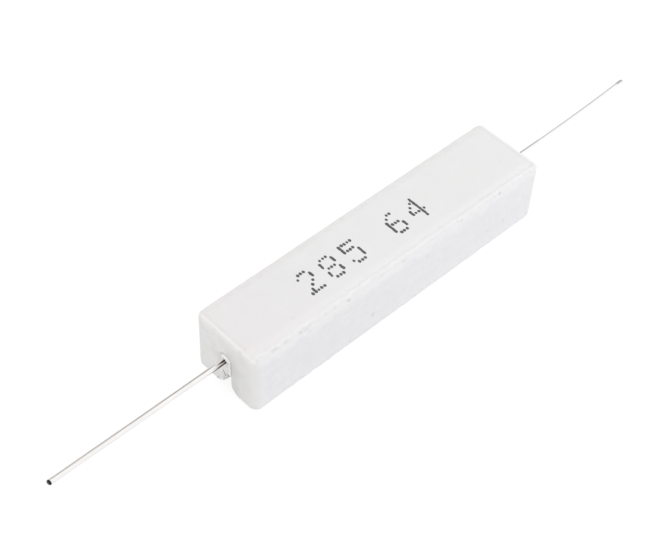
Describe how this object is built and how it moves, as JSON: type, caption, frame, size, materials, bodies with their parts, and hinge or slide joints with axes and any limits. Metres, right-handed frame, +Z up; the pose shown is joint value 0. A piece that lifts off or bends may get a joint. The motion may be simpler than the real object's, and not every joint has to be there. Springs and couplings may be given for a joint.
{
  "type": "axial resistor",
  "caption": "Wire-wound power resistor: a white ceramic trough filled with cement round a wound rod, with a straight tinned lead leaving each end.",
  "frame": {"origin": "middle of the plane of the case's open rim, half way between its two end faces", "axes": "+X runs along the leads towards the shorter one, +Y across the case, +Z up from the rim to the closed top"},
  "size_m": [0.0963, 0.0104, 0.0092],
  "materials": {
    "case_ceramic": "matte",
    "cement": "matte",
    "core_ceramic": "matte",
    "resistance_alloy": "satin",
    "cap_steel": "satin",
    "tinned_wire": "satin"
  },
  "bodies": {
    "root": {"ceramic_case": "case_ceramic", "cement_fill": "cement", "core_rod": "core_ceramic", "resistance_wire": "resistance_alloy", "end_cap_left": "cap_steel", "end_cap_right": "cap_steel", "lead_left": "tinned_wire", "lead_right": "tinned_wire"}
  },
  "joints": []
}
